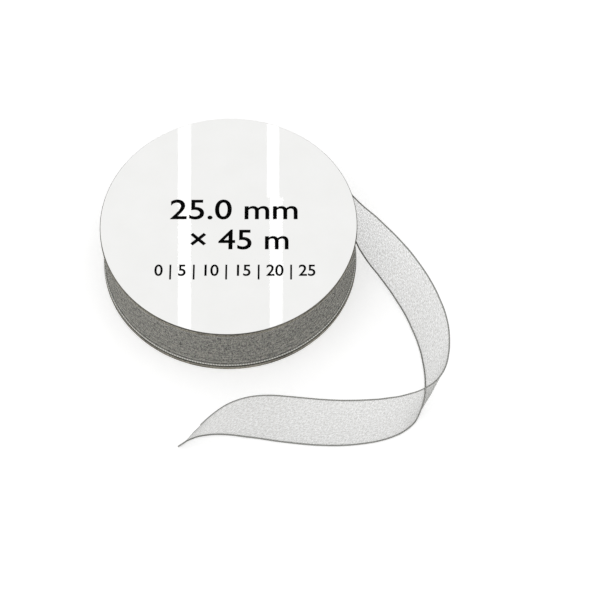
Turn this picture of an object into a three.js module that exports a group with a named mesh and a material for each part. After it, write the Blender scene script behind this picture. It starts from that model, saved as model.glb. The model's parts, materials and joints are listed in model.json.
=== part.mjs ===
// Ribbon spool: a roll of sheer organza ribbon between two round board flanges on a cardboard core,
// lying flat, with a round gloss label over the top flange and the free end of the ribbon drawn off
// across the table. Millimetres, +Z up. The origin is on the spool's axis at the table.
import * as THREE from 'three';
import { mergeVertices } from 'three/addons/utils/BufferGeometryUtils.js';

// ---- Driving dimensions --------------------------------------------------------------------
const RIBBON_WIDTH = 25; // the nominal width that the ribbon is sold by
const FLANGE_RADIUS = 57.5;
const BOARD = 2.5; // greyboard of each flange
const BORE_RADIUS = 19; // 38 mm bore through core and flanges
const CORE_WALL = 3;
const LABEL_THICKNESS = 0.25;
const LABEL_INSET = 0.3; // the label stops this far inside the flange's edge

const SHEER = 0.3; // the ribbon over its raised selvedges
const SIDE_PLAY = 0.2; // between a selvedge and a flange
const TURN_GAP = 0.3; // between the roll, its last turn and the free end
const RIM_PROUD = 0.3; // the flanges stand this far proud of the last turn

const TAPE_THICKNESS = 0.1;
const TAPE_LENGTH = 25;
const TAPE_WIDTH = 19;
const TAPE_GAP = 0.1; // on each face of the tape

const FACETS = 96; // sides of every round piece
const FACET_ANGLE = (2 * Math.PI) / FACETS;

// ---- Places that follow from them ----------------------------------------------------------
const CORE_RADIUS = BORE_RADIUS + CORE_WALL;
const RIBBON_BOTTOM = BOARD + SIDE_PLAY;
const CORE_TOP = RIBBON_BOTTOM + RIBBON_WIDTH + SIDE_PLAY;
const SPOOL_TOP = CORE_TOP + BOARD;

const TURN_OUTER = FLANGE_RADIUS - RIM_PROUD;
const TURN_INNER = TURN_OUTER - SHEER;
const ROLL_OUTER = TURN_INNER - TURN_GAP;
const TAPE_INNER = CORE_RADIUS + TAPE_GAP;
const ROLL_INNER = TAPE_INNER + TAPE_THICKNESS + TAPE_GAP;

// ---- The free end --------------------------------------------------------------------------
// It peels off the last turn with its upper selvedge first, drops off the flange and stands on one
// selvedge.
// Each point is on the lower selvedge: x, y, z, the lean from upright in degrees (positive to the
// left of the way it runs) and how far the middle of the ribbon bulges to the left.
const FREE_END_ROUTE = [
  [53.6, 19.5, 2.7, 0, 0],
  [56, 11.7, 2.7, 7.7, 0],
  [58.9, 4.3, 2.65, 15.9, 0],
  [62.8, -2.5, 2.1, 20.5, 0],
  [67.3, -8.9, 1.5, 23.1, 0],
  [71.7, -15.5, 1, 25.1, 0],
  [75.7, -22.5, 0.7, 26.6, 0],
  [79.4, -29.9, 0.5, 27.6, 0],
  [82.4, -37.6, 0.5, 28, 0],
  [84.9, -45.5, 0.5, 27.5, 0],
  [86.6, -53.7, 0.5, 25.6, 0],
  [87.4, -62, 0.5, 22.3, 0.1],
  [87.1, -70.3, 0.5, 17.7, 0.6],
  [85.3, -77.9, 0.5, 9, 1],
  [82.2, -84.6, 0.5, -3.8, 0.4],
  [76.3, -89.8, 0.5, -12.1, 0.3],
  [68.6, -93.2, 0.5, -17.1, 0.3],
  [60.3, -95, 0.5, -20.3, 0.4],
  [51.8, -95.9, 0.5, -22.4, 0.4],
  [43.3, -96, 0.5, -23.7, 0.2],
  [34.9, -95.5, 0.5, -24.4, 0],
  [26.4, -94.5, 0.5, -24.2, 0],
  [18, -93.2, 0.5, -22.1, 0],
  [9.6, -91.9, 0.5, -16.2, 0],
  [1.5, -90.8, 0.5, -5, 0],
  [-6.5, -90.6, 0.5, 9.4, 0],
  [-12.6, -91.6, 0.5, 17.1, 0],
  [-17.4, -93.7, 0.5, 19.3, 0],
  [-21.4, -96.6, 0.5, 28.5, 0],
];
const END_CUT = 15.5; // the slanting cut takes this much more off the upper selvedge
const PEEL_ANGLE = THREE.MathUtils.degToRad(28); // of the roll, until the free end is clear of it
const STEPS_PER_POINT = 3;
const STEPS_ACROSS = 4;

// ---- Materials -----------------------------------------------------------------------------
const finish = (color, roughness) => new THREE.MeshStandardMaterial({ color, roughness, metalness: 0 });

const materials = {
  glossPaper: finish('#f6f6f5', 0.12),
  greyboard: finish('#8f8a7e', 0.9),
  kraftTube: finish('#a58a66', 0.85),
  organza: finish('#7a7974', 0.55),
  tape: finish('#e4e0cf', 0.3),
};

// ---- Shapes --------------------------------------------------------------------------------
// A round piece about the Z axis, from an outline of [radius, height] points that closes.
function turned(outline) {
  const closed = [...outline, outline[0]];
  const geometry = new THREE.LatheGeometry(closed.map(([r, z]) => new THREE.Vector2(r, z)), FACETS);
  return geometry.rotateX(Math.PI / 2);
}

function ring(inner, outer, low, high) {
  return turned([[inner, low], [outer, low], [outer, high], [inner, high]]);
}

// A disc with no hole: its outline starts and ends on the axis.
function disc(radius, low, high) {
  const outline = [[0, low], [radius, low], [radius, high], [0, high]];
  const geometry = new THREE.LatheGeometry(outline.map(([r, z]) => new THREE.Vector2(r, z)), FACETS);
  return geometry.rotateX(Math.PI / 2);
}

// Part of a ring, from one angle to another.
function arcWall(inner, outer, from, to, low, high) {
  const shape = new THREE.Shape();
  shape.absarc(0, 0, outer, from, to, false);
  shape.absarc(0, 0, inner, to, from, true);
  const steps = Math.ceil((to - from) / FACET_ANGLE);
  const geometry = new THREE.ExtrudeGeometry(shape, {
    depth: high - low,
    bevelEnabled: false,
    curveSegments: steps,
  });
  return geometry.translate(0, 0, low);
}

// A smooth curve through rows of three numbers.
function smooth(rows) {
  return new THREE.CatmullRomCurve3(rows.map((row) => new THREE.Vector3(...row)), false, 'catmullrom');
}

// The free end: a flat box whose length, thickness and width are bent onto the route.
function freeEnd() {
  const selvedge = smooth(FREE_END_ROUTE.map(([x, y, z]) => [x, y, z]));
  const attitude = smooth(FREE_END_ROUTE.map(([, , , lean, bulge]) => [lean, bulge, 0]));
  const selvedgeLength = selvedge.getLength();
  const stepsAlong = (FREE_END_ROUTE.length - 1) * STEPS_PER_POINT;
  const flat = new THREE.BoxGeometry(1, SHEER, 1, stepsAlong, 1, STEPS_ACROSS);
  const position = flat.getAttribute('position');
  for (let i = 0; i < position.count; i++) {
    const across = position.getZ(i) + 0.5; // 0 on the lower selvedge, 1 on the upper one
    const along = (position.getX(i) + 0.5) * (1 - (across * END_CUT) / selvedgeLength);
    const point = selvedge.getPoint(along);
    const tangent = selvedge.getTangent(along);
    const { x: lean, y: bulge } = attitude.getPoint(along);
    const left = new THREE.Vector3(-tangent.y, tangent.x, 0).normalize();
    const angle = THREE.MathUtils.degToRad(lean);
    const up = left.clone().multiplyScalar(Math.sin(angle)).setZ(Math.cos(angle));
    const out = left.clone().multiplyScalar(Math.cos(angle)).setZ(-Math.sin(angle));
    const swell = bulge * 4 * across * (1 - across);
    point.addScaledVector(up, across * RIBBON_WIDTH);
    point.addScaledVector(out, swell + position.getY(i));
    position.setXYZ(i, point.x, point.y, point.z);
  }
  flat.deleteAttribute('normal');
  flat.deleteAttribute('uv');
  const closed = mergeVertices(flat, 1e-4);
  closed.computeVertexNormals();
  return closed;
}

// ---- Assembly ------------------------------------------------------------------------------
const spool = new THREE.Group();

function add(name, geometry, material) {
  const mesh = new THREE.Mesh(geometry, material);
  mesh.name = name;
  spool.add(mesh);
}

add('bottom_flange', ring(BORE_RADIUS, FLANGE_RADIUS, 0, BOARD), materials.greyboard);
add('core_tube', ring(BORE_RADIUS, CORE_RADIUS, BOARD, CORE_TOP), materials.kraftTube);
add('top_flange', ring(BORE_RADIUS, FLANGE_RADIUS, CORE_TOP, SPOOL_TOP), materials.greyboard);
add('top_label', disc(FLANGE_RADIUS - LABEL_INSET, SPOOL_TOP, SPOOL_TOP + LABEL_THICKNESS),
  materials.glossPaper);

// The ribbon's first end is taped to the core, under the roll.
const halfTape = TAPE_LENGTH / 2 / TAPE_INNER;
const tapeLow = RIBBON_BOTTOM + (RIBBON_WIDTH - TAPE_WIDTH) / 2;
add('start_tape',
  arcWall(TAPE_INNER, TAPE_INNER + TAPE_THICKNESS, -halfTape, halfTape, tapeLow, tapeLow + TAPE_WIDTH),
  materials.tape);

const ribbonTop = RIBBON_BOTTOM + RIBBON_WIDTH;
add('wound_ribbon', ring(ROLL_INNER, ROLL_OUTER, RIBBON_BOTTOM, ribbonTop), materials.organza);

// The last turn runs back from where the free end starts to peel off, and stops short of it.
const [exitX, exitY] = FREE_END_ROUTE[0];
const exitAngle = Math.atan2(exitY, exitX);
const gapAngle = TURN_GAP / TURN_OUTER;
add('outer_turn',
  arcWall(TURN_INNER, TURN_OUTER, exitAngle + gapAngle, exitAngle + 2 * Math.PI - PEEL_ANGLE,
    RIBBON_BOTTOM, ribbonTop),
  materials.organza);

add('ribbon_tail', freeEnd(), materials.organza);

export default spool;
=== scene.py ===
"""Ribbon spool: grey organza ribbon wound between two greyboard flanges on a card tube.

A round gloss label covers the top flange, and the free end of the ribbon stands on its edge on the
table. Everything is in metres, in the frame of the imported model.
"""

import json
import math

import bpy
from mathutils import Matrix, Vector, noise
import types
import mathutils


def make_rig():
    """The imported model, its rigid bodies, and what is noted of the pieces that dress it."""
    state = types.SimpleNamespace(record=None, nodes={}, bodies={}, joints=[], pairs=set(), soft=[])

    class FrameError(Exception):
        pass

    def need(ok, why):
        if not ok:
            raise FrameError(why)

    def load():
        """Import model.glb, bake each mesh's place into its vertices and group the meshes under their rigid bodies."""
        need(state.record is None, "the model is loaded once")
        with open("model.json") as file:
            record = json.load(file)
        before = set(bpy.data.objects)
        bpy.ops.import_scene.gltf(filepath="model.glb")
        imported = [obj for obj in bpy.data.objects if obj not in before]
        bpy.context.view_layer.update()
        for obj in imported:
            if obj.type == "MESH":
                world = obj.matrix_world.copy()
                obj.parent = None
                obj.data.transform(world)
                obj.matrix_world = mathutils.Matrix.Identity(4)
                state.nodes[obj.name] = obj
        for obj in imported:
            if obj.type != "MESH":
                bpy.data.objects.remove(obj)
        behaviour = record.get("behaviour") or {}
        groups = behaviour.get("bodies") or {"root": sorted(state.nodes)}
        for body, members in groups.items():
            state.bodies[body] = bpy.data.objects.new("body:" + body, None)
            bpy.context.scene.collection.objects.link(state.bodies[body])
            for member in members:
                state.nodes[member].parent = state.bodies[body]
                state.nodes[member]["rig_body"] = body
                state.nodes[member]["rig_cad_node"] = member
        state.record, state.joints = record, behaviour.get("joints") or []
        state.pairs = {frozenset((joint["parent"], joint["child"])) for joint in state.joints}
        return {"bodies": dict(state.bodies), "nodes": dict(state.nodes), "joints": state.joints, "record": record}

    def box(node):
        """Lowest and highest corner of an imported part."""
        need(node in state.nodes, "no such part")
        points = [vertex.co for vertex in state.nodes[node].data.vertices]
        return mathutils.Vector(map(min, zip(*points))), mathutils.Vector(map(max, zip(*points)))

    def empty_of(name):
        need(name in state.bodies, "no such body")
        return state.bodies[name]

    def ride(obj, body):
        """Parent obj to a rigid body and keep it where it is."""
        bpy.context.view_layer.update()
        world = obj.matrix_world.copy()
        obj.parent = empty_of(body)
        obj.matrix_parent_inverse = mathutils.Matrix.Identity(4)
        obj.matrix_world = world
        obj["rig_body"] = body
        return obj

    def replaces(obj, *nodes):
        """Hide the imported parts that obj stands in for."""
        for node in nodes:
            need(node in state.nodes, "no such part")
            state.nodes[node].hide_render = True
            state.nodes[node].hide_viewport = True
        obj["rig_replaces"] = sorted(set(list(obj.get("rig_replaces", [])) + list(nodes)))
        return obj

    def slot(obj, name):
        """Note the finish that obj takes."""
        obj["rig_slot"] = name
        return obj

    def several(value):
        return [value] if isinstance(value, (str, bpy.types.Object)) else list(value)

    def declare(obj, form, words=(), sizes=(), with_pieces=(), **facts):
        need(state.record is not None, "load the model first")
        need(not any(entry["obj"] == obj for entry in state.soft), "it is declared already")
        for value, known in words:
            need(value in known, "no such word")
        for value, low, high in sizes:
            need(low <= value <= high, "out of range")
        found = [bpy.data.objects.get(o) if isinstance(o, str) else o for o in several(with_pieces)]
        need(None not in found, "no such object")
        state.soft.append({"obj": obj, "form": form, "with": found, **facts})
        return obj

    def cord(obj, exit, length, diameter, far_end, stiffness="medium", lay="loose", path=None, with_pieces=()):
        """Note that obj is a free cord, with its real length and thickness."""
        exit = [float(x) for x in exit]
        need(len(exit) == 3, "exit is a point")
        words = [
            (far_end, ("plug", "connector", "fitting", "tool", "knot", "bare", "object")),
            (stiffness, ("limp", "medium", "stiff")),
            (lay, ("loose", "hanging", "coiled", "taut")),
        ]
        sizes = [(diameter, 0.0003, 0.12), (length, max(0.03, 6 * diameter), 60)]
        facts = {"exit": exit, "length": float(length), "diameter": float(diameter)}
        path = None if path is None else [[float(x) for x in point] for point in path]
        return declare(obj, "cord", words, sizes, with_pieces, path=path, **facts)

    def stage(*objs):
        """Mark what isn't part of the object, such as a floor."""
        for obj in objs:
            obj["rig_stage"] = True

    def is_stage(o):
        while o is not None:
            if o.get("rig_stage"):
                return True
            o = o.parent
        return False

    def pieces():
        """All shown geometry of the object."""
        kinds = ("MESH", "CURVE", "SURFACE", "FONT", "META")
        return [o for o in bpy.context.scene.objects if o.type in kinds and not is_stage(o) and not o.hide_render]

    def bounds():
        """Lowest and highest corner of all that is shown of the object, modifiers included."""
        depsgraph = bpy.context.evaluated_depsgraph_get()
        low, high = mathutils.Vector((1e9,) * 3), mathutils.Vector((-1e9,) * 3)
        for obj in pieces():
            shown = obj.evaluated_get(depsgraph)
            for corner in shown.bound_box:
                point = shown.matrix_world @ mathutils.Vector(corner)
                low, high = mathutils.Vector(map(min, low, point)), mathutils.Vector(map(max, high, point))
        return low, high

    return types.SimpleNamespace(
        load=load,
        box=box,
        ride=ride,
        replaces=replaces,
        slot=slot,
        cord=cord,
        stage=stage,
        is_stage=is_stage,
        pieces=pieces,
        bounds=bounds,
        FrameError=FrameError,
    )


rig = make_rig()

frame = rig.load()
cad_low, cad_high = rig.bounds()

MM = 0.001
TURN = 2 * math.pi

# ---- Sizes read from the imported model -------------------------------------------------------
flange_low, flange_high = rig.box("bottom_flange")
FLANGE_RADIUS = flange_high.x
BOARD = flange_high.z - flange_low.z
core_low, core_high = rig.box("core_tube")
CORE_RADIUS = core_high.x
CORE_WALL = 3 * MM
BORE_RADIUS = CORE_RADIUS - CORE_WALL
label_low, label_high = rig.box("top_label")
LABEL_RADIUS = label_high.x
roll_low, roll_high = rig.box("wound_ribbon")
RIBBON_BOTTOM = roll_low.z
RIBBON_WIDTH = roll_high.z - roll_low.z
turn_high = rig.box("outer_turn")[1]

# ---- The ribbon -----------------------------------------------------------------------------
CORD_RADIUS = 0.34 * MM  # of the corded selvedge
WEAVE_THICKNESS = 0.12 * MM
LAST_TURN_RADIUS = turn_high.y - 0.15 * MM  # the middle of the ribbon's thickness
ROLL_RADIUS = LAST_TURN_RADIUS - 0.5 * MM  # leaves room for the last turn's cords

# The route of the lower selvedge: x, y and z in metres, the lean from upright in degrees (positive to
# the left of the way it runs) and how far the middle of the ribbon bulges to the left, in metres.
FREE_END_ROUTE = [
    (0.0536, 0.0195, 0.0027, 0, 0),
    (0.056, 0.0117, 0.0027, 7.7, 0),
    (0.0589, 0.0043, 0.00265, 15.9, 0),
    (0.0628, -0.0025, 0.0021, 20.5, 0),
    (0.0673, -0.0089, 0.0015, 23.1, 0),
    (0.0717, -0.0155, 0.001, 25.1, 0),
    (0.0757, -0.0225, 0.0007, 26.6, 0),
    (0.0794, -0.0299, 0.0005, 27.6, 0),
    (0.0824, -0.0376, 0.0005, 28, 0),
    (0.0849, -0.0455, 0.0005, 27.5, 0),
    (0.0866, -0.0537, 0.0005, 25.6, 0),
    (0.0874, -0.062, 0.0005, 22.3, 0.0001),
    (0.0871, -0.0703, 0.0005, 17.7, 0.0006),
    (0.0853, -0.0779, 0.0005, 9, 0.001),
    (0.0822, -0.0846, 0.0005, -3.8, 0.0004),
    (0.0763, -0.0898, 0.0005, -12.1, 0.0003),
    (0.0686, -0.0932, 0.0005, -17.1, 0.0003),
    (0.0603, -0.095, 0.0005, -20.3, 0.0004),
    (0.0518, -0.0959, 0.0005, -22.4, 0.0004),
    (0.0433, -0.096, 0.0005, -23.7, 0.0002),
    (0.0349, -0.0955, 0.0005, -24.4, 0),
    (0.0264, -0.0945, 0.0005, -24.2, 0),
    (0.018, -0.0932, 0.0005, -22.1, 0),
    (0.0096, -0.0919, 0.0005, -16.2, 0),
    (0.0015, -0.0908, 0.0005, -5, 0),
    (-0.0065, -0.0906, 0.0005, 9.4, 0),
    (-0.0126, -0.0916, 0.0005, 17.1, 0),
    (-0.0174, -0.0937, 0.0005, 19.3, 0),
    (-0.0214, -0.0966, 0.0005, 28.5, 0),
]
END_CUT = 15.5 * MM  # the slanting cut takes this much more off the upper selvedge

# ---- The view -------------------------------------------------------------------------------
VIEW_ELEVATION = math.radians(58.865)
VIEW_DISTANCE = 1.1742
VIEW_TARGET = Vector((0.0341, -0.0240, 0.0))
LENS = 153.44  # mm, on the default 36 mm wide sensor


def make_camera():
    back = Vector((0, -math.cos(VIEW_ELEVATION), math.sin(VIEW_ELEVATION)))
    camera = bpy.data.objects.new("camera", bpy.data.cameras.new("camera"))
    camera.data.lens = LENS
    camera.data.clip_end = 20
    camera.location = VIEW_TARGET + back * VIEW_DISTANCE
    camera.rotation_mode = "QUATERNION"
    camera.rotation_quaternion = (-back).to_track_quat("-Z", "Y")
    bpy.context.scene.collection.objects.link(camera)
    bpy.context.scene.camera = camera
    return camera


# ---- Materials ------------------------------------------------------------------------------
def colour(hex_code):
    """A linear RGBA colour from an sRGB hex code."""
    channels = [int(hex_code[i : i + 2], 16) / 255 for i in (1, 3, 5)]
    linear = [c / 12.92 if c <= 0.04045 else ((c + 0.055) / 1.055) ** 2.4 for c in channels]
    return (*linear, 1.0)


def add_node(tree, kind, inputs=None, **settings):
    """One node with its settings. A socket's value is a constant, or the output that feeds it."""
    node = tree.nodes.new(kind)
    for name, value in settings.items():
        setattr(node, name, value)
    for socket, value in (inputs or {}).items():
        if isinstance(value, bpy.types.NodeSocket):
            tree.links.new(value, node.inputs[socket])
        else:
            node.inputs[socket].default_value = value
    return node


def new_material(name):
    """An empty material with its Principled node."""
    material = bpy.data.materials.new(name)
    material.use_nodes = True
    tree = material.node_tree
    return material, tree, tree.nodes["Principled BSDF"]


def laminated_label_paper():
    """Coated label paper under a gloss film: white, and a clear mirror of the studio lamps."""
    material, tree, surface = new_material("laminated_label_paper")
    place = add_node(tree, "ShaderNodeTexCoord").outputs["Object"]
    mottle = add_node(tree, "ShaderNodeTexNoise", {"Vector": place, "Scale": 90.0, "Detail": 3.0})
    tone = add_node(
        tree, "ShaderNodeMix",
        {"Factor": mottle.outputs["Fac"], "A": colour("#f2f2f0"), "B": colour("#f8f8f7")},
        data_type="RGBA",
    )
    tree.links.new(tone.outputs["Result"], surface.inputs["Base Color"])
    surface.inputs["Roughness"].default_value = 0.35
    surface.inputs["Coat Weight"].default_value = 1.0
    surface.inputs["Coat Roughness"].default_value = 0.01
    # The film lies over the paper's felt with a wave of about 6 mm that only its gloss shows.
    felt = add_node(tree, "ShaderNodeTexNoise", {"Vector": place, "Scale": 160.0, "Detail": 2.0})
    wave = add_node(
        tree, "ShaderNodeBump",
        {"Strength": 0.01, "Distance": 0.02 * MM, "Height": felt.outputs["Fac"]},
    )
    tree.links.new(wave.outputs["Normal"], surface.inputs["Coat Normal"])
    return material


def screen_printed_ink():
    """Black ink printed over the film: dense and matt, so lamps don't grey it."""
    material, tree, surface = new_material("screen_printed_ink")
    place = add_node(tree, "ShaderNodeTexCoord").outputs["Object"]
    grain = add_node(tree, "ShaderNodeTexNoise", {"Vector": place, "Scale": 2500.0})
    tone = add_node(
        tree, "ShaderNodeMix",
        {"Factor": grain.outputs["Fac"], "A": colour("#000000"), "B": colour("#040404")},
        data_type="RGBA",
    )
    tree.links.new(tone.outputs["Result"], surface.inputs["Base Color"])
    surface.inputs["Roughness"].default_value = 0.8
    surface.inputs["Specular IOR Level"].default_value = 0.03
    return material


def die_cut_greyboard():
    """Pressed waste-paper board: matt warm grey with fibres and dark specks, plies at its edge."""
    material, tree, surface = new_material("die_cut_greyboard")
    place = add_node(tree, "ShaderNodeTexCoord").outputs["Object"]
    fibre = add_node(
        tree, "ShaderNodeTexNoise",
        {"Vector": place, "Scale": 1250.0, "Detail": 2.0, "Roughness": 0.6},
    )
    plies_place = add_node(tree, "ShaderNodeMapping", {"Vector": place, "Scale": (60, 60, 1800)})
    plies = add_node(
        tree, "ShaderNodeTexNoise", {"Vector": plies_place.outputs["Vector"], "Scale": 1.0}
    )
    both = add_node(
        tree, "ShaderNodeMix",
        {"Factor": 0.5, "A": fibre.outputs["Fac"], "B": plies.outputs["Fac"]},
    )
    tone = add_node(tree, "ShaderNodeValToRGB", {"Fac": both.outputs["Result"]})
    ramp = tone.color_ramp.elements
    ramp[0].position, ramp[0].color = 0.38, colour("#44423b")
    ramp[1].position, ramp[1].color = 0.62, colour("#a5a195")
    # Specks of old print, about 0.4 mm, drawn a little larger than they are so that they show.
    cells = add_node(
        tree, "ShaderNodeTexVoronoi", {"Vector": place, "Scale": 420.0}, feature="F1"
    )
    speck = add_node(
        tree, "ShaderNodeMapRange",
        {"Value": cells.outputs["Distance"], "From Min": 0.10, "From Max": 0.2,
         "To Min": 0.55, "To Max": 0.0},
    )
    flecked = add_node(
        tree, "ShaderNodeMix",
        {"Factor": speck.outputs["Result"], "A": tone.outputs["Color"], "B": colour("#4a4740")},
        data_type="RGBA",
    )
    # Painted shade: the rim's upper corner is darkened, standing in for the shade in the gap beside the ribbon.
    painted_gap_shade = add_node(tree, "ShaderNodeAttribute", attribute_name="painted_gap_shade").outputs["Fac"]
    gap_shaded = add_node(
        tree, "ShaderNodeMix",
        {"Factor": painted_gap_shade, "A": flecked.outputs["Result"], "B": colour("#33322d")}, data_type="RGBA",
    )
    tree.links.new(gap_shaded.outputs["Result"], surface.inputs["Base Color"])
    surface.inputs["Roughness"].default_value = 0.93
    surface.inputs["Specular IOR Level"].default_value = 0.25
    rough = add_node(
        tree, "ShaderNodeBump",
        {"Strength": 0.5, "Distance": 0.08 * MM, "Height": both.outputs["Result"]},
    )
    tree.links.new(rough.outputs["Normal"], surface.inputs["Normal"])
    return material


def spiral_kraft_tube():
    """Kraft paper wound in a spiral and glued: warm brown, matt, with long fibres."""
    material, tree, surface = new_material("spiral_kraft_tube")
    place = add_node(tree, "ShaderNodeTexCoord").outputs["Object"]
    fibre = add_node(
        tree, "ShaderNodeTexNoise",
        {"Vector": place, "Scale": 700.0, "Detail": 5.0, "Roughness": 0.65},
    )
    tone = add_node(tree, "ShaderNodeValToRGB", {"Fac": fibre.outputs["Fac"]})
    ramp = tone.color_ramp.elements
    ramp[0].position, ramp[0].color = 0.32, colour("#8b6f4c")
    ramp[1].position, ramp[1].color = 0.68, colour("#b79a70")
    tree.links.new(tone.outputs["Color"], surface.inputs["Base Color"])
    surface.inputs["Roughness"].default_value = 0.88
    nap = add_node(
        tree, "ShaderNodeBump",
        {"Strength": 0.4, "Distance": 0.05 * MM, "Height": fibre.outputs["Fac"]},
    )
    tree.links.new(nap.outputs["Normal"], surface.inputs["Normal"])
    return material


def clear_tape():
    """Acetate tape over the ribbon's first end: thin, faintly yellow and shiny."""
    material, tree, surface = new_material("clear_tape")
    place = add_node(tree, "ShaderNodeTexCoord").outputs["Object"]
    streak = add_node(tree, "ShaderNodeTexNoise", {"Vector": place, "Scale": 300.0})
    tone = add_node(
        tree, "ShaderNodeMix",
        {"Factor": streak.outputs["Fac"], "A": colour("#d9cf9f"), "B": colour("#efe9cc")},
        data_type="RGBA",
    )
    tree.links.new(tone.outputs["Result"], surface.inputs["Base Color"])
    surface.inputs["Roughness"].default_value = 0.2
    return material


THREAD_PITCH = 0.55 * MM  # organza has a thread each 0.25 mm, drawn coarser so that it shows


def weave_height(tree, pitch, turn=0.0):
    """Threads both ways, from 0 in the holes to 1 on a thread, in the ribbon's own directions."""
    sheet = add_node(tree, "ShaderNodeUVMap", uv_map="ribbon").outputs["UV"]
    laid = add_node(tree, "ShaderNodeMapping", {"Vector": sheet, "Rotation": (0, 0, turn)})
    waves = []
    for direction in ("X", "Y"):
        wave = add_node(
            tree, "ShaderNodeTexWave",
            {"Vector": laid.outputs["Vector"], "Scale": TURN / 20 / pitch, "Distortion": 0.6,
             "Detail": 1.0, "Detail Scale": 0.3},
            wave_type="BANDS", bands_direction=direction,
        )
        waves.append(wave.outputs["Fac"])
    return add_node(
        tree, "ShaderNodeMath", {0: waves[0], 1: waves[1]}, operation="MAXIMUM"
    ).outputs["Value"]


def uneven_yarn(tree, width, length):
    """Thick and thin places of the yarn, along the ribbon and across it, from about 0 to 1."""
    sheet = add_node(tree, "ShaderNodeUVMap", uv_map="ribbon").outputs["UV"]
    parts = []
    for stretch in ((1 / length, 1 / width, 1), (1 / width, 1 / length, 1)):
        laid = add_node(tree, "ShaderNodeMapping", {"Vector": sheet, "Scale": stretch})
        grain = add_node(tree, "ShaderNodeTexNoise", {"Vector": laid.outputs["Vector"], "Scale": 1.0})
        parts.append(grain.outputs["Fac"])
    both = add_node(tree, "ShaderNodeMath", {0: parts[0], 1: parts[1]}, operation="ADD")
    spread = add_node(
        tree, "ShaderNodeMapRange",
        {"Value": both.outputs["Value"], "From Min": 0.8, "From Max": 1.2},
    )
    return spread.outputs["Result"]


def sheer_organza():
    """One layer of woven nylon monofilament: crisp, grey, matt, and about a third covered by thread."""
    material, tree, surface = new_material("sheer_organza")
    threads = weave_height(tree, THREAD_PITCH)
    uneven = uneven_yarn(tree, 0.6 * MM, 1.3 * MM)
    crowded_and_shaded = add_node(tree, "ShaderNodeAttribute", attribute_name="crowding_and_painted_shade").outputs["Fac"]
    # Each face of the thin ribbon hides part of what is behind it, more on a thread than in a hole.
    cover = add_node(
        tree, "ShaderNodeMapRange",
        {"Value": uneven, "To Min": 0.055, "To Max": 0.245},
    )
    knots = add_node(
        tree, "ShaderNodeMath", {0: threads, 1: 0.08, 2: cover.outputs["Result"]},
        operation="MULTIPLY_ADD",
    )
    # The crowding value also hides more of what is behind. This is real at the sealed cut end and painted shade along
    # the crease.
    hidden = add_node(
        tree, "ShaderNodeMath", {0: crowded_and_shaded, 1: 0.28, 2: knots.outputs["Value"]},
        operation="MULTIPLY_ADD", use_clamp=True,
    )
    tree.links.new(hidden.outputs["Value"], surface.inputs["Alpha"])
    tone = add_node(
        tree, "ShaderNodeMix",
        {"Factor": uneven, "A": colour("#8f8f8b"), "B": colour("#a8a8a4")}, data_type="RGBA",
    )
    # Painted shade: a high crowding value darkens the colour. Along the crease it stands in for the shade of the bend,
    # and at the sealed cut end for its denser thread.
    packed = add_node(
        tree, "ShaderNodeMapRange",
        {"Value": crowded_and_shaded, "From Min": 0.3, "From Max": 1.6, "To Max": 0.6},
    )
    shaded = add_node(
        tree, "ShaderNodeMix",
        {"Factor": packed.outputs["Result"], "A": tone.outputs["Result"], "B": colour("#4c4c49")},
        data_type="RGBA",
    )
    tree.links.new(shaded.outputs["Result"], surface.inputs["Base Color"])
    surface.inputs["Roughness"].default_value = 0.55
    surface.inputs["IOR"].default_value = 1.53
    surface.inputs["Specular IOR Level"].default_value = 0.05
    relief = add_node(
        tree, "ShaderNodeBump", {"Strength": 0.4, "Distance": 0.05 * MM, "Height": threads}
    )
    tree.links.new(relief.outputs["Normal"], surface.inputs["Normal"])
    return material


def wound_organza():
    """Hundreds of layers of organza: dark and matt, because the light is lost between them.

    Threads of one turn beat against those of the turn below, which gives faint watered bands.
    Selvedges of narrower turns show as ridges and grooves, with a painted highlight on each ridge and painted shade in
    each groove."""
    material, tree, surface = new_material("wound_organza")
    upper = weave_height(tree, THREAD_PITCH)
    below = weave_height(tree, THREAD_PITCH * 1.04, math.radians(2.5))
    watered = add_node(
        tree, "ShaderNodeMath", {0: upper, 1: below}, operation="MULTIPLY"
    ).outputs["Value"]
    uneven = uneven_yarn(tree, 0.8 * MM, 2.2 * MM)
    both = add_node(tree, "ShaderNodeMix", {"Factor": 0.75, "A": watered, "B": uneven})
    tone = add_node(tree, "ShaderNodeValToRGB", {"Fac": both.outputs["Result"]})
    ramp = tone.color_ramp.elements
    ramp[0].position, ramp[0].color = 0.15, colour("#262521")
    ramp[1].position, ramp[1].color = 0.85, colour("#b0ada2")
    # Painted highlight on the ridges and painted shade in the grooves, both driven by the ridge attribute.
    ridge = add_node(tree, "ShaderNodeAttribute", attribute_name="ridge").outputs["Fac"]
    lit = add_node(tree, "ShaderNodeMapRange", {"Value": ridge, "To Max": 0.65})
    painted_groove_shade = add_node(
        tree, "ShaderNodeMapRange",
        {"Value": ridge, "From Min": 0.0, "From Max": -1.0, "To Max": 0.8},
    )
    ridge_highlighted = add_node(
        tree, "ShaderNodeMix",
        {"Factor": lit.outputs["Result"], "A": tone.outputs["Color"], "B": colour("#e0ddd2")},
        data_type="RGBA",
    )
    highlighted_and_shaded = add_node(
        tree, "ShaderNodeMix",
        {"Factor": painted_groove_shade.outputs["Result"], "A": ridge_highlighted.outputs["Result"], "B": colour("#141412")},
        data_type="RGBA",
    )
    tree.links.new(highlighted_and_shaded.outputs["Result"], surface.inputs["Base Color"])
    surface.inputs["Roughness"].default_value = 0.7
    surface.inputs["IOR"].default_value = 1.53
    surface.inputs["Specular IOR Level"].default_value = 0.03
    relief = add_node(
        tree, "ShaderNodeBump", {"Strength": 0.6, "Distance": 0.08 * MM, "Height": upper}
    )
    tree.links.new(relief.outputs["Normal"], surface.inputs["Normal"])
    return material


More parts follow.
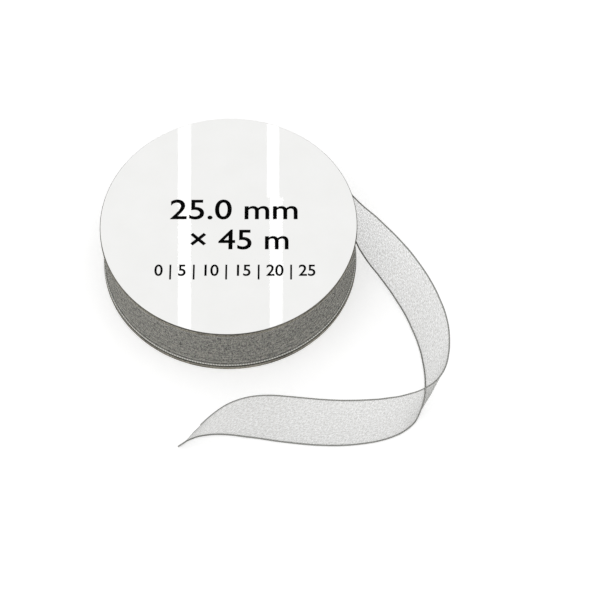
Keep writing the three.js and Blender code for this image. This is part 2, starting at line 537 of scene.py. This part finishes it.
def corded_selvedge(name, dark, light):
    """The ribbon's edge: yarns packed round a cord, so it is dense, with a fine diagonal twist."""
    material, tree, surface = new_material(name)
    sheet = add_node(tree, "ShaderNodeUVMap", uv_map="ribbon").outputs["UV"]
    twist = add_node(
        tree, "ShaderNodeTexWave",
        {"Vector": sheet, "Scale": TURN / 20 / (0.6 * MM), "Distortion": 0.8},
        wave_type="BANDS", bands_direction="DIAGONAL",
    )
    tone = add_node(
        tree, "ShaderNodeMix",
        {"Factor": twist.outputs["Fac"], "A": colour(dark), "B": colour(light)},
        data_type="RGBA",
    )
    tree.links.new(tone.outputs["Result"], surface.inputs["Base Color"])
    surface.inputs["Roughness"].default_value = 0.5
    lay = add_node(
        tree, "ShaderNodeBump",
        {"Strength": 0.5, "Distance": 0.06 * MM, "Height": twist.outputs["Fac"]},
    )
    tree.links.new(lay.outputs["Normal"], surface.inputs["Normal"])
    return material


# ---- Mesh helpers ---------------------------------------------------------------------------
def new_piece(name, points, faces, materials, body, slot, replaced=()):
    """A mesh object that rides on a body and stands for the CAD nodes that it replaces."""
    mesh = bpy.data.meshes.new(name)
    mesh.from_pydata(points, [], faces)
    mesh.update()
    mesh.polygons.foreach_set("use_smooth", [True] * len(mesh.polygons))
    for material in materials:
        mesh.materials.append(material)
    piece = bpy.data.objects.new(name, mesh)
    bpy.context.scene.collection.objects.link(piece)
    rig.ride(piece, body)
    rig.slot(piece, slot)
    if replaced:
        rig.replaces(piece, *replaced)
    return piece


def turned_piece(name, outline, around, material, body, slot, replaced=(), shift=None):
    """Turns a closed outline of (radius, height) about the spool's axis.

    shift(angle, radius, height) may return a small change of radius for an uneven surface."""
    count = len(outline)
    points = []
    for i in range(around):
        angle = TURN * i / around
        for radius, height in outline:
            r = radius + (shift(angle, radius, height) if shift else 0)
            points.append((r * math.cos(angle), r * math.sin(angle), height))
    faces = [
        (i * count + j, (i + 1) % around * count + j,
         (i + 1) % around * count + (j + 1) % count, i * count + (j + 1) % count)
        for i in range(around)
        for j in range(count)
    ]
    return new_piece(name, points, faces, [material], body, slot, replaced)


def rounded_ring(inner, outer, low, high, edge, edge_steps=3):
    """The outline of a ring of rectangular section with rounded edges."""
    outline = []
    corners = (
        (outer - edge, low + edge, -90), (outer - edge, high - edge, 0),
        (inner + edge, high - edge, 90), (inner + edge, low + edge, 180),
    )
    for radius, height, start in corners:
        for k in range(edge_steps + 1):
            a = math.radians(start + 90 * k / edge_steps)
            outline.append((radius + edge * math.cos(a), height + edge * math.sin(a)))
    return outline


def sharpen(piece, degrees=40):
    """Keeps hard edges hard while the rest is shaded smooth."""
    piece.data.set_sharp_from_angle(angle=math.radians(degrees))


# ---- The spool ------------------------------------------------------------------------------
def make_board(name, node, material):
    """A flange, die-cut from board: the knife leaves its rim a little rounded and furred."""
    low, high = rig.box(node)
    edge, fur_depth, fur_grain = 0.3 * MM, 0.035 * MM, 1.1 * MM

    def fur(angle, radius, height):
        if radius < FLANGE_RADIUS * 0.9:
            return 0
        spot = Vector((radius * math.cos(angle), radius * math.sin(angle), height)) / fur_grain
        return fur_depth * (noise.noise(spot) - 0.4)

    outline = rounded_ring(BORE_RADIUS, FLANGE_RADIUS, low.z, high.z, edge)
    rim = len(outline) // 4
    steps = 6  # up the rim, for its plies
    a, b = outline[rim - 1], outline[rim]
    plies = [
        (a[0] + (b[0] - a[0]) * k / steps, a[1] + (b[1] - a[1]) * k / steps) for k in range(1, steps)
    ]
    outline[rim:rim] = plies
    around = 720
    board = turned_piece(name, outline, around, material, "spool", "greyboard", [node], fur)
    # Painted shade on the rim's upper corner only, as far as its rounding goes.
    reach, gap_shade_strength = edge + 0.05 * MM, 0.75
    corner = [
        gap_shade_strength if radius > FLANGE_RADIUS - reach and height > high.z - reach else 0.0
        for radius, height in outline
    ]
    painted_gap_shade = board.data.attributes.new("painted_gap_shade", "FLOAT", "POINT")
    painted_gap_shade.data.foreach_set("value", corner * around)
    sharpen(board)


def make_core(material):
    """The tube's last strip is wound in a spiral, and its edge shows as a fine step in the bore."""
    strip_lead = 42 * MM
    step_depth = 0.12 * MM
    rows = 48
    low, high = core_low.z, core_high.z

    def spiral(angle, radius, height):
        if radius > (BORE_RADIUS + CORE_RADIUS) / 2:
            return 0
        along = (height / strip_lead - angle / TURN) % 1.0
        return step_depth * max(0.0, 1 - along * 14)

    outline = [(CORE_RADIUS, low), (CORE_RADIUS, high)]
    outline += [(BORE_RADIUS, high - (high - low) * k / rows) for k in range(rows + 1)]
    core = turned_piece(
        "spiral_core", outline, 360, material, "spool", "kraft_tube", ["core_tube"], spiral
    )
    sharpen(core)


def make_label(material):
    """The label: a thin round sheet, knife-cut, so its upper edge is a little rolled over."""
    top, bottom, edge = label_high.z, label_low.z, 0.1 * MM
    radii = [LABEL_RADIUS * k / 24 for k in range(24)]
    middle = 0.01 * MM  # a tiny face closes the middle of each side
    roll_over = 0.03 * MM
    outline = [(max(r, middle), bottom) for r in radii] + [(LABEL_RADIUS, bottom)]
    outline += [(LABEL_RADIUS, top - edge), (LABEL_RADIUS - roll_over, top - roll_over)]
    flat = LABEL_RADIUS - edge - 0.05 * MM  # keeps the gloss level right up to the edge
    outline += [(LABEL_RADIUS - edge, top), (flat, top)]
    outline += [(max(r, middle), top) for r in reversed(radii)]
    around = 360
    points, faces = [], []
    count = len(outline)
    for i in range(around):
        angle = TURN * i / around
        points += [(r * math.cos(angle), r * math.sin(angle), z) for r, z in outline]
    for i in range(around):
        j = (i + 1) % around
        faces += [(i * count + k, j * count + k, j * count + k + 1, i * count + k + 1)
                  for k in range(count - 1)]
    faces.append([i * count + count - 1 for i in range(around)])
    faces.append([i * count for i in reversed(range(around))])
    label = new_piece("label_sheet", points, faces, [material], "spool", "gloss_label",
                      ["top_label"])
    sharpen(label)


PRINT_RISE = 0.02 * MM  # the ink film on the label


def print_line(name, words, low, high, weight, material):
    """A line of figures in ink, filling the box from its low corner to its high one.

    weight is how much is added all round each stroke."""
    text = bpy.data.curves.new(name, "FONT")
    text.body = words
    text.size = high[1] - low[1]
    text.bevel_depth = weight
    text.resolution_u = 8
    maker = bpy.data.objects.new(name + "_maker", text)
    bpy.context.scene.collection.objects.link(maker)
    graph = bpy.context.evaluated_depsgraph_get()
    mesh = bpy.data.meshes.new_from_object(maker.evaluated_get(graph))
    bpy.data.objects.remove(maker)
    mesh.name = name
    xs = [v.co.x for v in mesh.vertices]
    ys = [v.co.y for v in mesh.vertices]
    fit_x = (high[0] - low[0]) / (max(xs) - min(xs))
    fit_y = (high[1] - low[1]) / (max(ys) - min(ys))
    for vertex in mesh.vertices:
        vertex.co.x = low[0] + (vertex.co.x - min(xs)) * fit_x
        vertex.co.y = low[1] + (vertex.co.y - min(ys)) * fit_y
        vertex.co.z = label_high.z + PRINT_RISE * (vertex.co.z / weight + 1) / 2
    mesh.materials.clear()
    mesh.materials.append(material)
    piece = bpy.data.objects.new(name, mesh)
    bpy.context.scene.collection.objects.link(piece)
    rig.ride(piece, "spool")
    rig.slot(piece, "gloss_label")


# Where the selvedges of narrower turns below show on the roll: the height above the ribbon's lower edge and the width
# in mm, and how strongly each stands out (above 0, with a painted highlight) or lies in a groove (below 0, with
# painted shade).
RIDGES = (
    (0.5, 0.45, -0.7), (2.0, 0.45, 1.0), (4.0, 0.5, -0.7), (5.5, 0.4, 0.6), (6.4, 0.4, -0.45),
    (7.4, 0.4, 0.45), (11.5, 0.4, -0.25), (23.9, 0.4, 0.3),
)


def make_roll(material, edge_material):
    """The wound ribbon. Turns below the last one were drawn tighter and are a little narrower, so
    their selvedges show through as ridges that wander up and down round the roll."""
    around, rows = 720, 125
    inner = CORE_RADIUS + 0.4 * MM  # clear of the tape
    unevenness, ridge_rise, wander_reach = 0.06 * MM, 0.08 * MM, 0.4
    low, high = RIBBON_BOTTOM, RIBBON_BOTTOM + RIBBON_WIDTH

    def ridge_at(angle, height):
        total = 0
        turn_point = Vector((math.cos(angle), math.sin(angle), 0))
        for number, (place, width, strength) in enumerate(RIDGES):
            wander = noise.noise(turn_point * 3 + Vector((0, 0, 5.0 * number))) * wander_reach
            broken = 0.65 + noise.noise(turn_point * 25 + Vector((0, 0, 3.0 * number)))
            away = (height - low) / MM - place - wander
            total += strength * broken * math.exp(-((away / width) ** 2))
        return max(-1.0, min(1.0, total))

    def surface_radius(angle, height):
        spot = Vector((math.cos(angle) * 5, math.sin(angle) * 5, height / (4 * MM)))
        return ROLL_RADIUS + unevenness * noise.noise(spot) + ridge_rise * ridge_at(angle, height)

    heights = [low + (high - low) * k / rows for k in range(rows + 1)]
    points, uvs, ridges = [], [], []
    for i in range(around):
        angle = TURN * i / around
        for z in heights:
            r = surface_radius(angle, z)
            points.append((r * math.cos(angle), r * math.sin(angle), z))
            ridges.append(ridge_at(angle, z))
        for z in (high, low):
            points.append((inner * math.cos(angle), inner * math.sin(angle), z))
            ridges.append(0)
    count = rows + 3
    faces = []
    for i in range(around):
        j = (i + 1) % around
        faces += [(i * count + k, j * count + k, j * count + (k + 1) % count,
                   i * count + (k + 1) % count) for k in range(count)]
    roll = new_piece("wound_roll", points, faces, [material, edge_material], "spool",
                     "organza_wound", ["wound_ribbon"])
    mesh = roll.data
    layer = mesh.uv_layers.new(name="ribbon")
    for polygon in mesh.polygons:
        column = polygon.index // count
        row = polygon.index % count
        for loop, (dc, dr) in zip(polygon.loop_indices, ((0, 0), (1, 0), (1, 1), (0, 1))):
            k = row + dr
            height = heights[k] if k <= rows else high
            layer.data[loop].uv = (TURN * (column + dc) / around * ROLL_RADIUS, height)
        if row >= rows:
            polygon.material_index = 1
    ridge = mesh.attributes.new("ridge", "FLOAT", "POINT")
    ridge.data.foreach_set("value", ridges)
    sharpen(roll)


# ---- The ribbon's last turn and free end ------------------------------------------------------
def catmull(rows, t):
    """A point of a smooth curve through the rows, and its direction, t from 0 to 1."""
    last = len(rows) - 1
    spot = min(max(t, 0.0), 1.0) * last
    i = min(int(spot), last - 1)
    f = spot - i

    def row(k):
        if k < 0:
            return [2 * a - b for a, b in zip(rows[0], rows[1])]
        if k > last:
            return [2 * a - b for a, b in zip(rows[last], rows[last - 1])]
        return rows[k]

    value, slope = [], []
    for a, b, c, d in zip(row(i - 1), row(i), row(i + 1), row(i + 2)):
        value.append(
            0.5 * (2 * b + (c - a) * f + (2 * a - 5 * b + 4 * c - d) * f * f
                   + (3 * b - a - 3 * c + d) * f ** 3)
        )
        slope.append(
            0.5 * ((c - a) + 2 * (2 * a - 5 * b + 4 * c - d) * f
                   + 3 * (3 * b - a - 3 * c + d) * f * f)
        )
    return value, slope


def free_end_point(t, across, lift):
    """A point of the free end: across is metres up from the lower selvedge, lift is metres off the
    middle of its thickness, to the left of the way that it runs."""
    (x, y, z, lean, bulge), (dx, dy, *_) = catmull(FREE_END_ROUTE, t)
    left = Vector((-dy, dx, 0)).normalized()
    angle = math.radians(lean)
    up = left * math.sin(angle) + Vector((0, 0, math.cos(angle)))
    out = left * math.cos(angle) - Vector((0, 0, math.sin(angle)))
    share = across / RIBBON_WIDTH
    swell = bulge * 4 * share * (1 - share)
    return Vector((x, y, z)) + up * across + out * (swell + lift)


def ribbon_section():
    """The ribbon's closed section as (across, lift, is_cord): flat weave between two cords."""
    half = WEAVE_THICKNESS / 2
    flat_steps, cord_steps = 26, 7
    start = CORD_RADIUS + math.sqrt(CORD_RADIUS ** 2 - half ** 2)
    join = math.asin(half / CORD_RADIUS)
    section = []
    for k in range(flat_steps + 1):
        section.append((start + (RIBBON_WIDTH - 2 * start) * k / flat_steps, half, False))
    for k in range(1, cord_steps):
        a = math.pi - join - (TURN - 2 * join) * k / cord_steps
        section.append((RIBBON_WIDTH - CORD_RADIUS + CORD_RADIUS * math.cos(a),
                        CORD_RADIUS * math.sin(a), True))
    for k in range(flat_steps + 1):
        section.append((RIBBON_WIDTH - start - (RIBBON_WIDTH - 2 * start) * k / flat_steps,
                        -half, False))
    for k in range(1, cord_steps):
        a = -join - (TURN - 2 * join) * k / cord_steps
        section.append((CORD_RADIUS + CORD_RADIUS * math.cos(a), CORD_RADIUS * math.sin(a), True))
    return section


def ribbon_piece(name, steps, place, length, crowd_and_shade, materials, slot, replaced):
    """Sweeps the ribbon's section: place(t, across, lift) gives a point, t from 0 to 1.

    The first material is the weave's, the second the upper cord's, the last the lower cord's."""
    section = ribbon_section()
    count = len(section)
    points, crowding_and_painted_shade = [], []
    for i in range(steps + 1):
        t = i / steps
        for across, lift, _ in section:
            points.append(place(t, across, lift))
            crowding_and_painted_shade.append(crowd_and_shade(t, across))
    faces = [
        (i * count + k, (i + 1) * count + k, (i + 1) * count + (k + 1) % count,
         i * count + (k + 1) % count)
        for i in range(steps) for k in range(count)
    ]
    faces.append(list(reversed(range(count))))
    faces.append([steps * count + k for k in range(count)])
    piece = new_piece(name, points, faces, materials, "free_ribbon", slot, replaced)
    mesh = piece.data
    layer = mesh.uv_layers.new(name="ribbon")
    for polygon in mesh.polygons:
        if polygon.index >= steps * count:
            polygon.material_index = 1
            continue
        i, k = divmod(polygon.index, count)
        after = (k + 1) % count
        if section[k][2] or section[after][2]:
            lower = section[k][0] < RIBBON_WIDTH / 2
            polygon.material_index = len(materials) - 1 if lower else 1
        for loop, (di, kk) in zip(polygon.loop_indices, ((0, k), (1, k), (1, after), (0, after))):
            layer.data[loop].uv = ((i + di) / steps * length, section[kk][0])
    attribute = mesh.attributes.new("crowding_and_painted_shade", "FLOAT", "POINT")
    attribute.data.foreach_set("value", crowding_and_painted_shade)
    sharpen(piece, 60)
    return piece


def route_length(share_across):
    """The length of the free end at this share of its width, and the points along it."""
    points = [free_end_place(k / 400, share_across * RIBBON_WIDTH, 0) for k in range(401)]
    return sum((b - a).length for a, b in zip(points, points[1:])), points


PUCKER_DEPTH = 0.12 * MM


def free_end_place(t, across, lift):
    """The free end with its slanting cut and the slight puckers beside its selvedges.

    It relaxes to a cord's width more than the tight turns have."""
    across += CORD_RADIUS * min(1.0, t * 8) * (2 * across / RIBBON_WIDTH - 1)
    along = t * (1 - across / RIBBON_WIDTH * END_CUT / SELVEDGE_LENGTH)
    beside = min(across, RIBBON_WIDTH - across) / RIBBON_WIDTH
    started = min(1.0, along * 5)
    pucker = PUCKER_DEPTH * noise.noise(Vector((along * 38, across / (7 * MM), 0.5)))
    return free_end_point(along, across, lift + pucker * started * (1 - beside))


SELVEDGE_LENGTH = sum(
    (Vector(catmull(FREE_END_ROUTE, (k + 1) / 400)[0][:3])
     - Vector(catmull(FREE_END_ROUTE, k / 400)[0][:3])).length
    for k in range(400)
)


# The crease where the ribbon turns back runs slanting across it, between these shares of its length.
CREASE_LOW, CREASE_HIGH = 0.480, 0.461
# How much painted crease shade the broad bend and its sharp middle add, and how far each reaches in mm.
CREASE_BANDS = ((0.4, 11), (0.35, 3))


def crowding_and_painted_shade(t, across):
    """Raises the value at the cut end, whose sealed edge is denser, and along the crease where the ribbon turns back,
    as painted shade of the bend.

    Near the roll it is lowered, as painted light against the shade that the spool casts there, and towards the cut end
    it rises a little."""
    share = across / RIBBON_WIDTH
    away = (t - CREASE_LOW - (CREASE_HIGH - CREASE_LOW) * share) * SELVEDGE_LENGTH / MM
    # Painted shade along the crease: the value peaks across the bend, which darkens the colour and hides more of the
    # table behind.
    crease_shade = sum(amount * math.exp(-((away / reach) ** 2)) for amount, reach in CREASE_BANDS)
    # Painted light: the value drops near the roll, so more of the bright table shows through where the spool's shade
    # lies.
    shadow_lift = 0.3 * max(0.0, 1 - t / 0.3)
    end_rise = 0.12 * min(1.0, max(0.0, (t - 0.75) / 0.15))
    sealed = 0.5 * max(0.0, t - 0.93) / 0.07 + 2.5 * max(0.0, t - 0.992) / 0.008
    return crease_shade + end_rise - shadow_lift + sealed


def make_free_end(materials):
    length, middle = route_length(0.5)
    piece = ribbon_piece(
        "free_end", 340, free_end_place, length, crowding_and_painted_shade, materials, "organza_single",
        ["ribbon_tail"],
    )
    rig.cord(
        piece, exit=middle[0], length=length, diameter=RIBBON_WIDTH, far_end="bare",
        stiffness="limp", lay="loose", path=middle, with_pieces=["last_turn"],
    )


def make_last_turn(materials):
    """The last turn, from where the free end peels off back to where it dips under it."""
    x, y = FREE_END_ROUTE[0][:2]
    start = math.atan2(y, x)
    sweep = math.radians(357)
    dip = 0.22 * MM

    def place(t, across, lift):
        angle = start + sweep * t
        radius = LAST_TURN_RADIUS + lift - dip * t ** 3  # dips only near its end
        return Vector((radius * math.cos(angle), radius * math.sin(angle), RIBBON_BOTTOM + across))

    ribbon_piece(
        "last_turn", 480, place, sweep * LAST_TURN_RADIUS, lambda t, across: 0.0, materials,
        "organza_single", ["outer_turn"],
    )


# ---- Table and light --------------------------------------------------------------------------
def make_table():
    """A plain white paper table, lit almost to white, that still takes a faint shadow."""
    mesh = bpy.data.meshes.new("table")
    reach = 4.0
    mesh.from_pydata(
        [(-reach, -reach, 0), (reach, -reach, 0), (reach, reach, 0), (-reach, reach, 0)], [],
        [(0, 1, 2, 3)],
    )
    material, _, surface = new_material("white_paper_table")
    surface.inputs["Base Color"].default_value = colour("#e8e8e8")
    surface.inputs["Roughness"].default_value = 1.0
    surface.inputs["Specular IOR Level"].default_value = 0.0
    surface.inputs["Emission Color"].default_value = (1, 1, 1, 1)
    surface.inputs["Emission Strength"].default_value = 0.38
    mesh.materials.append(material)
    table = bpy.data.objects.new("table", mesh)
    bpy.context.scene.collection.objects.link(table)
    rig.stage(table)


def area_lamp(name, place, aim, width, length, radiance):
    """A rectangular lamp of a stated radiance."""
    data = bpy.data.lights.new(name, "AREA")
    data.shape = "RECTANGLE"
    data.size, data.size_y = width, length
    data.energy = radiance * math.pi * width * length
    lamp = bpy.data.objects.new(name, data)
    lamp.location = place
    lamp.rotation_mode = "QUATERNION"
    lamp.rotation_quaternion = (Vector(aim) - Vector(place)).to_track_quat("-Z", "Y")
    bpy.context.scene.collection.objects.link(lamp)
    return lamp


# Strip lamps that the gloss label mirrors. They hang in a frame that stands square to the mirrored
# view: the middle of each across it, its width, and its lower and upper ends up it.
STRIP_DISTANCE = 2.5
STRIP_RADIANCE = 4.0
STRIP_LAMPS = (
    (-0.1159, 0.0125, -0.08, 0.25),
    (-0.0307, 0.0117, 0.1034, 0.25),
    (-0.0276, 0.0125, -0.08, 0.1034),
)


def make_lights(camera):
    world = bpy.data.worlds.new("studio")
    bpy.context.scene.world = world
    world.use_nodes = True
    backdrop = world.node_tree.nodes["Background"]
    backdrop.inputs["Color"].default_value = (1, 1, 1, 1)
    backdrop.inputs["Strength"].default_value = 0.92
    area_lamp("softbox", (-0.9, -0.5, 1.3), (0, 0, 0), 0.9, 0.9, 0.6)

    ahead = Vector((0, math.cos(VIEW_ELEVATION), math.sin(VIEW_ELEVATION)))
    up = Vector((0, math.sin(VIEW_ELEVATION), -math.cos(VIEW_ELEVATION)))
    eye = camera.location.copy()
    eye.z = 2 * label_high.z - eye.z
    for number, (across, width, low, high) in enumerate(STRIP_LAMPS):
        place = eye + ahead * STRIP_DISTANCE + Vector((across, 0, 0)) + up * (low + high) / 2
        lamp = area_lamp(
            f"strip_lamp_{number}", place, place - ahead, width, high - low, STRIP_RADIANCE
        )
        turn = Matrix((Vector((1, 0, 0)), up, Vector((1, 0, 0)).cross(up))).transposed()
        lamp.rotation_quaternion = turn.to_quaternion()
    bpy.context.scene.view_settings.view_transform = "Standard"


# ---- Putting it together ----------------------------------------------------------------------
camera = make_camera()
sheer = sheer_organza()
cord = corded_selvedge("corded_selvedge", "#6c6c69", "#9c9c97")
# Painted highlight: the last turn's lower selvedge beside the board gets a cord colour that runs up to near white,
# standing in for the glint on its twist.
glint_cord = corded_selvedge("selvedge_painted_glint", "#8f8f89", "#eeeee6")
make_last_turn([sheer, cord, glint_cord])
make_free_end([sheer, cord])

board = die_cut_greyboard()
make_board("lower_board", "bottom_flange", board)
make_board("upper_board", "top_flange", board)
make_core(spiral_kraft_tube())
make_label(laminated_label_paper())
make_roll(wound_organza(), cord)
frame["nodes"]["start_tape"].data.materials.clear()
frame["nodes"]["start_tape"].data.materials.append(clear_tape())

ink = screen_printed_ink()
print_line("print_width", "25.0 mm", (-0.0262, 0.0021), (0.0308, 0.0128), 0.1 * MM, ink)
print_line("print_length", "\u00d7 45 m", (-0.0169, -0.0138), (0.0268, -0.0032), 0.1 * MM, ink)
print_line(
    "print_gauge", "0 | 5 | 10 | 15 | 20 | 25",
    (-0.0324, -0.0294), (0.0387, -0.0216), 0.11 * MM, ink,
)

make_table()
make_lights(camera)

low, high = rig.bounds()
with open("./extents.json", "w") as sizes:
    json.dump(
        {"cad": [list(cad_low), list(cad_high)], "visual": [list(low), list(high)]}, sizes
    )
